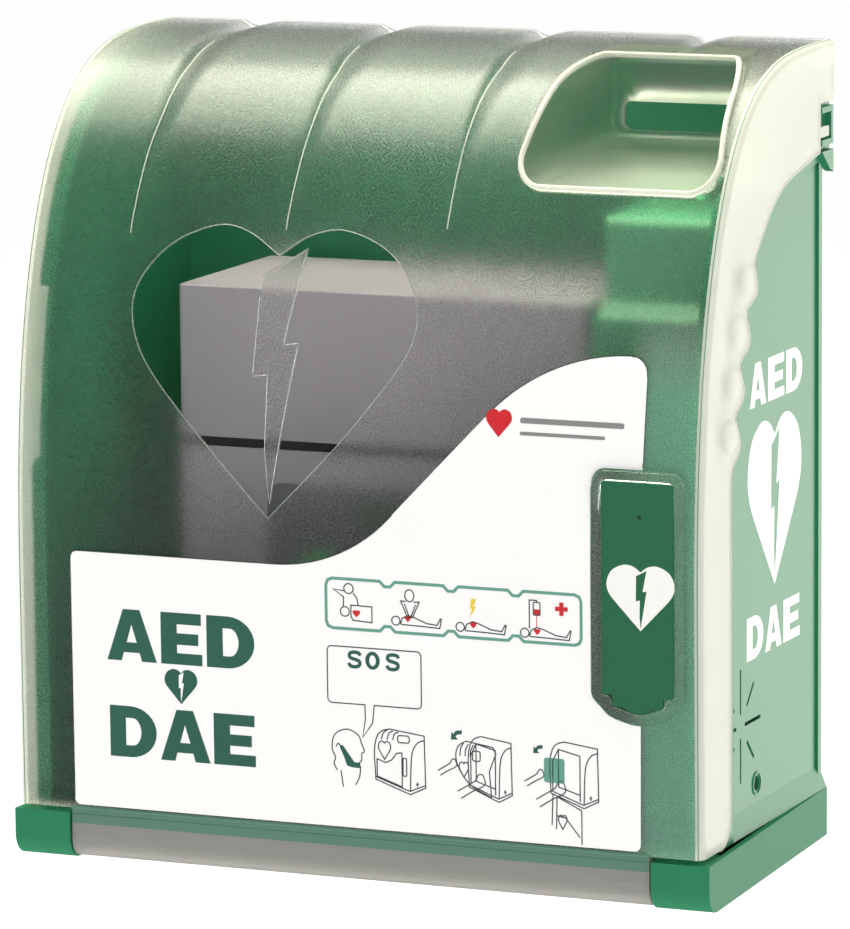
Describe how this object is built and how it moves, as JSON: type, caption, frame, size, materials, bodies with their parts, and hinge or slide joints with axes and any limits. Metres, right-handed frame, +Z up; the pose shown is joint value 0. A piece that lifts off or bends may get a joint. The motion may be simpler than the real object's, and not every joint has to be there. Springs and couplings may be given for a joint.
{
  "type": "wall cabinet defibrillator",
  "caption": "Green wall cabinet holding a grey defibrillator, closed by a curved translucent cover that is hinged at its foot and swings forward.",
  "frame": {"origin": "middle of the four wall screw holes, on the wall plane", "axes": "+X to the right seen from the front, +Y into the wall, +Z up"},
  "size_m": [0.388, 0.201, 0.423],
  "materials": {
    "casing": "moulded green, fine satin",
    "clear": "polycarbonate, frosted with a clear window",
    "print": "printed film",
    "sign": "printed film",
    "unit": "moulded grey, fine grain",
    "seal": "soft black",
    "steel": "zinc plated",
    "board": "solder mask",
    "dark": "black moulded",
    "panel": "printed overlay",
    "power": "green button",
    "shock": "orange button",
    "lens": "tinted lens",
    "cell": "wrapped cell",
    "foil": "foil packet"
  },
  "bodies": {
    "cabinet": {"rear_casing": "casing", "base_tray": "casing", "electronics_housing": "casing", "unit_shelf": "casing", "base_screws": "steel", "hinge_pins": "steel", "housing_screws": "steel", "shelf_screws": "steel", "unit_case_screws": "steel", "board_standoffs": "steel", "control_board": "board", "unit_main_board": "board", "cell_holder": "dark", "backup_cells": "cell", "sounder": "dark", "reed_switch": "dark", "reset_switch": "dark", "button_switches": "dark", "unit_speaker": "dark", "unit_transformer": "dark", "unit_battery": "dark", "unit_capacitor": "cell", "cable_grommet": "seal", "unit_feet": "seal", "unit_seam_seal": "seal", "status_light": "lens", "status_window": "lens", "unit_lower_case": "unit", "unit_upper_case": "unit", "unit_panel": "panel", "electrode_pouch": "foil", "electrode_socket": "dark", "electrode_plug": "dark"},
    "cover": {"cover_shell": "clear", "instruction_label": "print", "sign_panel": "sign", "cover_magnet": "steel"},
    "power_button": {"power_button": "power"},
    "shock_button": {"shock_button": "shock"},
    "reset_button": {"reset_button": "dark"}
  },
  "joints": [
    {"name": "cover_hinge", "type": "hinge", "parent": "cabinet", "child": "cover", "pos_m": [0, -0.19, -0.216], "axis": [1, 0, 0], "range_deg": [0, 180]},
    {"name": "power_push", "type": "slide", "parent": "cabinet", "child": "power_button", "axis": [0, 1, 0], "range_m": [0, 0.0015], "stiffness_N_per_m": 900, "springref_m": -0.001},
    {"name": "shock_push", "type": "slide", "parent": "cabinet", "child": "shock_button", "axis": [0, 1, 0], "range_m": [0, 0.0015], "stiffness_N_per_m": 900, "springref_m": -0.001},
    {"name": "reset_push", "type": "slide", "parent": "cabinet", "child": "reset_button", "axis": [-1, 0, 0], "range_m": [0, 0.0012], "stiffness_N_per_m": 700, "springref_m": -0.001}
  ]
}
